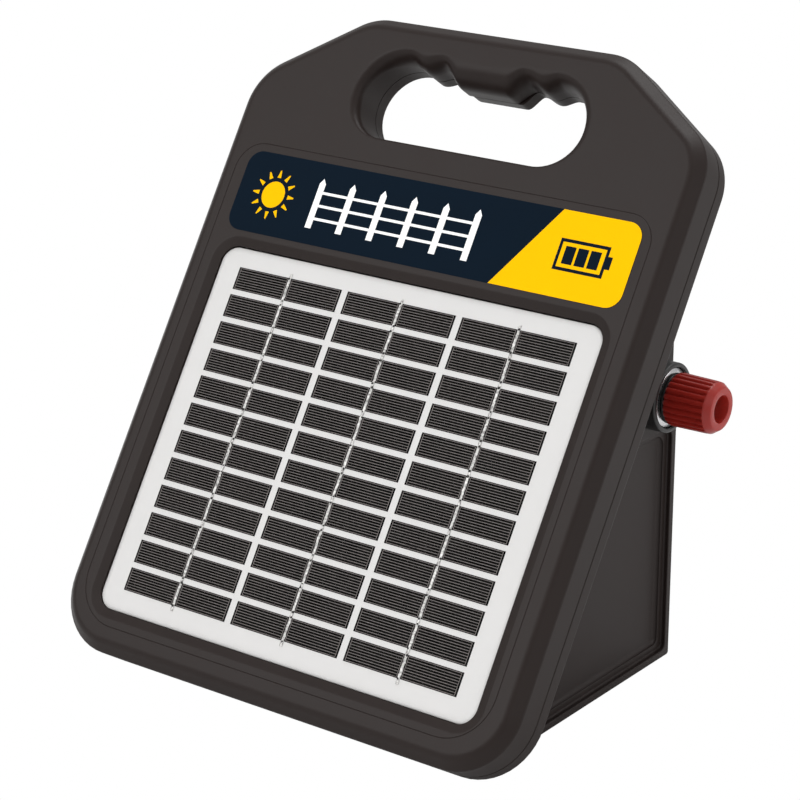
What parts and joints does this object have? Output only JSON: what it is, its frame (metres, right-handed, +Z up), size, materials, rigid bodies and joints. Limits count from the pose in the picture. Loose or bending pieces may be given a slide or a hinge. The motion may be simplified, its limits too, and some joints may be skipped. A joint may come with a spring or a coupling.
{
  "type": "solar electric fence energizer",
  "caption": "Free-standing solar fence energizer: a leaning panel slab with a hand-hole on a wedge-shaped rear case, with screw-down wire terminals on its sides",
  "frame": {"origin": "centre of the bounding box's bottom face, on the ground that the feet stand on", "axes": "+Z up, +X to the right of someone who faces the solar panel, +Y from the panel to the back of the case"},
  "size_m": [0.2304, 0.1666, 0.2429],
  "materials": {
    "shell_plastic": "satin",
    "rubber": "matte",
    "stainless_steel": "satin",
    "dark_steel": "satin",
    "red_plastic": "satin",
    "black_plastic": "satin",
    "white_laminate": "satin",
    "solar_cell": "gloss",
    "clear_resin": "gloss",
    "label_film": "satin",
    "rocker_plastic": "satin",
    "lens_green": "gloss",
    "led_resin": "gloss",
    "battery_case": "matte",
    "board_green": "satin",
    "ferrite": "matte",
    "copper_winding": "satin",
    "aluminium": "satin",
    "red_wire": "satin",
    "black_wire": "satin",
    "white_wire": "satin"
  },
  "bodies": {
    "housing": {"back_cover": "shell_plastic", "back_cover_screw_1": "stainless_steel", "back_cover_screw_2": "stainless_steel", "back_cover_screw_3": "stainless_steel", "back_cover_screw_4": "stainless_steel", "back_cover_seal": "rubber", "battery": "battery_case", "battery_cradle": "stainless_steel", "battery_lead_negative": "black_wire", "battery_lead_positive": "red_wire", "circuit_board": "board_green", "earth_contact_washer": "stainless_steel", "earth_lead": "black_wire", "earth_ring_lug": "stainless_steel", "earth_stud": "stainless_steel", "earth_stud_nut": "stainless_steel", "earth_terminal_bush": "black_plastic", "foot_1": "rubber", "foot_2": "rubber", "foot_3": "rubber", "foot_4": "rubber", "front_housing": "shell_plastic", "heat_sink": "aluminium", "housing_screw_1": "stainless_steel", "housing_screw_2": "stainless_steel", "housing_screw_3": "stainless_steel", "housing_screw_4": "stainless_steel", "housing_screw_5": "stainless_steel", "housing_screw_6": "stainless_steel", "housing_seal": "rubber", "label_plate": "label_film", "live_contact_washer": "stainless_steel", "live_lead": "red_wire", "live_ring_lug": "stainless_steel", "live_stud": "stainless_steel", "live_stud_nut": "stainless_steel", "live_terminal_bush": "black_plastic", "panel_lead": "white_wire", "rear_housing": "shell_plastic", "solar_backsheet": "white_laminate", "solar_cover": "clear_resin", "solar_string_centre": "solar_cell", "solar_string_left": "solar_cell", "solar_string_right": "solar_cell", "status_led": "led_resin", "status_lens": "lens_green", "storage_capacitor_1": "black_plastic", "storage_capacitor_2": "black_plastic", "switch_body": "black_plastic", "switch_lead": "white_wire", "thyristor": "black_plastic", "transformer_core": "ferrite", "transformer_winding": "copper_winding"},
    "live_clamp": {"live_clamp_washer": "stainless_steel"},
    "live_knob": {"live_knob": "red_plastic", "live_knob_insert": "dark_steel"},
    "earth_clamp": {"earth_clamp_washer": "stainless_steel"},
    "earth_knob": {"earth_knob": "black_plastic", "earth_knob_insert": "dark_steel"},
    "switch_rocker": {"switch_rocker": "rocker_plastic"}
  },
  "joints": [
    {"name": "live_knob_travel", "type": "slide", "parent": "housing", "child": "live_clamp", "axis": [1, 0, 0], "range_m": [0, 0.00501]},
    {"name": "live_knob_turn", "type": "hinge", "parent": "live_clamp", "child": "live_knob", "pos_m": [0.1, 0.054, 0.1166], "axis": [1, 0, 0], "range_deg": [0, 1440]},
    {"name": "earth_knob_travel", "type": "slide", "parent": "housing", "child": "earth_clamp", "axis": [-1, 0, 0], "range_m": [0, 0.00501]},
    {"name": "earth_knob_turn", "type": "hinge", "parent": "earth_clamp", "child": "earth_knob", "pos_m": [-0.1, 0.054, 0.1166], "axis": [-1, 0, 0], "range_deg": [0, 1440]},
    {"name": "switch_rock", "type": "hinge", "parent": "housing", "child": "switch_rocker", "pos_m": [0.03, 0.0641, 0.1421], "axis": [1, 0, 0], "range_deg": [0, 20]}
  ],
  "couplings": [
    {"joint": "live_knob_travel", "follows": "live_knob_turn", "m_per_rad": 0.00019894},
    {"joint": "earth_knob_travel", "follows": "earth_knob_turn", "m_per_rad": 0.00019894}
  ]
}
